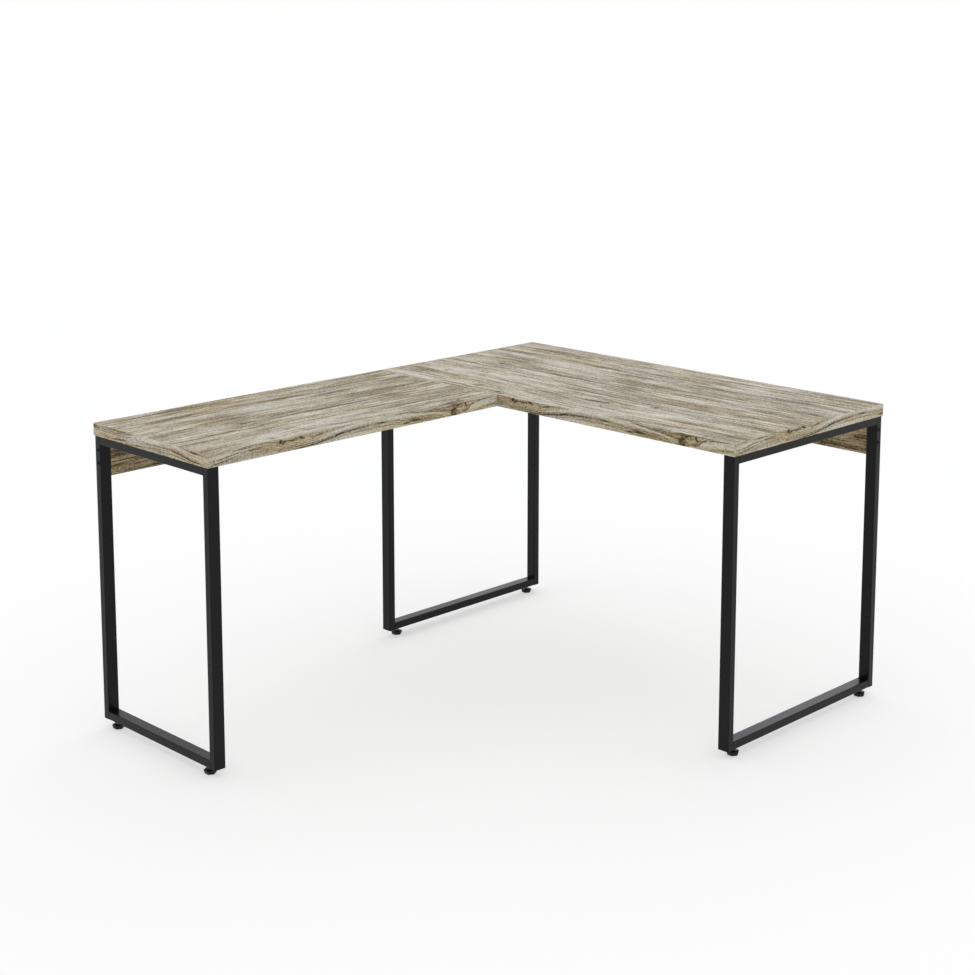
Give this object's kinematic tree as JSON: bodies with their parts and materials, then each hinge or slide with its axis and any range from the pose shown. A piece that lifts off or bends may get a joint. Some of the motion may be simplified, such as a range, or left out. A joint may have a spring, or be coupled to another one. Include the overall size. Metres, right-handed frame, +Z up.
{
  "type": "corner desk",
  "caption": "L-shaped corner desk: butted wood-effect tops on closed rectangular black steel tube leg frames, with back aprons and screw levelling feet.",
  "frame": {"origin": "on the floor, under the middle of the desk's overall length, width and height box, with every levelling foot at the middle of its travel", "axes": "+X along the main top, from the corner to its free end; +Y towards the back, from the return top's free end; +Z up"},
  "size_m": [1.2, 1.5, 0.75],
  "materials": {
    "top_decor": "satin wood-grain laminate",
    "edge_decor": "satin wood-grain edge band",
    "apron_decor": "satin wood-grain laminate",
    "frame_paint": "fine satin powder coat",
    "black_plastic": "matte",
    "black_bolt": "satin black",
    "zinc_steel": "zinc plated",
    "zinc_plate": "zinc plated"
  },
  "bodies": {
    "desk": {"apron_barrel_nuts": "zinc_steel", "apron_bolts": "black_bolt", "apron_brackets": "zinc_plate", "bracket_screws": "zinc_steel", "joining_plate_screws": "zinc_steel", "joining_plates": "zinc_plate", "left_frame_back_post": "frame_paint", "left_frame_bottom_rail": "frame_paint", "left_frame_front_post": "frame_paint", "left_frame_top_rail": "frame_paint", "levelling_inserts": "zinc_steel", "main_apron": "apron_decor", "main_apron_edge_band": "apron_decor", "main_top_back_band": "edge_decor", "main_top_board": "top_decor", "main_top_front_band": "edge_decor", "main_top_left_band": "edge_decor", "main_top_right_band": "edge_decor", "middle_frame_back_post": "frame_paint", "middle_frame_bottom_rail": "frame_paint", "middle_frame_front_post": "frame_paint", "middle_frame_top_rail": "frame_paint", "post_end_plugs": "black_plastic", "return_apron": "apron_decor", "return_apron_edge_band": "apron_decor", "return_top_back_band": "edge_decor", "return_top_board": "top_decor", "return_top_end_band": "edge_decor", "return_top_front_band": "edge_decor", "return_top_seam_band": "edge_decor", "right_frame_back_post": "frame_paint", "right_frame_bottom_rail": "frame_paint", "right_frame_front_post": "frame_paint", "right_frame_top_rail": "frame_paint", "top_fixing_screws": "zinc_steel"},
    "left_back_foot": {"left_back_foot_glide": "black_plastic"},
    "left_back_foot_screw": {"left_back_foot_head": "black_plastic", "left_back_foot_stud": "zinc_steel"},
    "left_front_foot": {"left_front_foot_glide": "black_plastic"},
    "left_front_foot_screw": {"left_front_foot_head": "black_plastic", "left_front_foot_stud": "zinc_steel"},
    "middle_front_foot": {"middle_front_foot_glide": "black_plastic"},
    "middle_front_foot_screw": {"middle_front_foot_head": "black_plastic", "middle_front_foot_stud": "zinc_steel"},
    "middle_back_foot": {"middle_back_foot_glide": "black_plastic"},
    "middle_back_foot_screw": {"middle_back_foot_head": "black_plastic", "middle_back_foot_stud": "zinc_steel"},
    "right_front_foot": {"right_front_foot_glide": "black_plastic"},
    "right_front_foot_screw": {"right_front_foot_head": "black_plastic", "right_front_foot_stud": "zinc_steel"},
    "right_back_foot": {"right_back_foot_glide": "black_plastic"},
    "right_back_foot_screw": {"right_back_foot_head": "black_plastic", "right_back_foot_stud": "zinc_steel"}
  },
  "joints": [
    {"name": "left_back_foot_level", "type": "slide", "parent": "desk", "child": "left_back_foot", "axis": [0, 0, -1], "range_m": [-0.006, 0.006]},
    {"name": "left_back_foot_turn", "type": "hinge", "parent": "left_back_foot", "child": "left_back_foot_screw", "pos_m": [-0.56, -0.733, 0.01], "axis": [0, 0, -1], "range_deg": [-1442, 1442]},
    {"name": "left_front_foot_level", "type": "slide", "parent": "desk", "child": "left_front_foot", "axis": [0, 0, -1], "range_m": [-0.006, 0.006]},
    {"name": "left_front_foot_turn", "type": "hinge", "parent": "left_front_foot", "child": "left_front_foot_screw", "pos_m": [-0.19, -0.733, 0.01], "axis": [0, 0, -1], "range_deg": [-1442, 1442]},
    {"name": "middle_front_foot_level", "type": "slide", "parent": "desk", "child": "middle_front_foot", "axis": [0, 0, -1], "range_m": [-0.006, 0.006]},
    {"name": "middle_front_foot_turn", "type": "hinge", "parent": "middle_front_foot", "child": "middle_front_foot_screw", "pos_m": [-0.583, 0.19, 0.01], "axis": [0, 0, -1], "range_deg": [-1442, 1442]},
    {"name": "middle_back_foot_level", "type": "slide", "parent": "desk", "child": "middle_back_foot", "axis": [0, 0, -1], "range_m": [-0.006, 0.006]},
    {"name": "middle_back_foot_turn", "type": "hinge", "parent": "middle_back_foot", "child": "middle_back_foot_screw", "pos_m": [-0.583, 0.71, 0.01], "axis": [0, 0, -1], "range_deg": [-1442, 1442]},
    {"name": "right_front_foot_level", "type": "slide", "parent": "desk", "child": "right_front_foot", "axis": [0, 0, -1], "range_m": [-0.006, 0.006]},
    {"name": "right_front_foot_turn", "type": "hinge", "parent": "right_front_foot", "child": "right_front_foot_screw", "pos_m": [0.583, 0.19, 0.01], "axis": [0, 0, -1], "range_deg": [-1442, 1442]},
    {"name": "right_back_foot_level", "type": "slide", "parent": "desk", "child": "right_back_foot", "axis": [0, 0, -1], "range_m": [-0.006, 0.006]},
    {"name": "right_back_foot_turn", "type": "hinge", "parent": "right_back_foot", "child": "right_back_foot_screw", "pos_m": [0.583, 0.71, 0.01], "axis": [0, 0, -1], "range_deg": [-1442, 1442]}
  ],
  "couplings": [
    {"joint": "left_back_foot_turn", "follows": "left_back_foot_level", "rad_per_m": 4188.8},
    {"joint": "left_front_foot_turn", "follows": "left_front_foot_level", "rad_per_m": 4188.8},
    {"joint": "middle_front_foot_turn", "follows": "middle_front_foot_level", "rad_per_m": 4188.8},
    {"joint": "middle_back_foot_turn", "follows": "middle_back_foot_level", "rad_per_m": 4188.8},
    {"joint": "right_front_foot_turn", "follows": "right_front_foot_level", "rad_per_m": 4188.8},
    {"joint": "right_back_foot_turn", "follows": "right_back_foot_level", "rad_per_m": 4188.8}
  ]
}
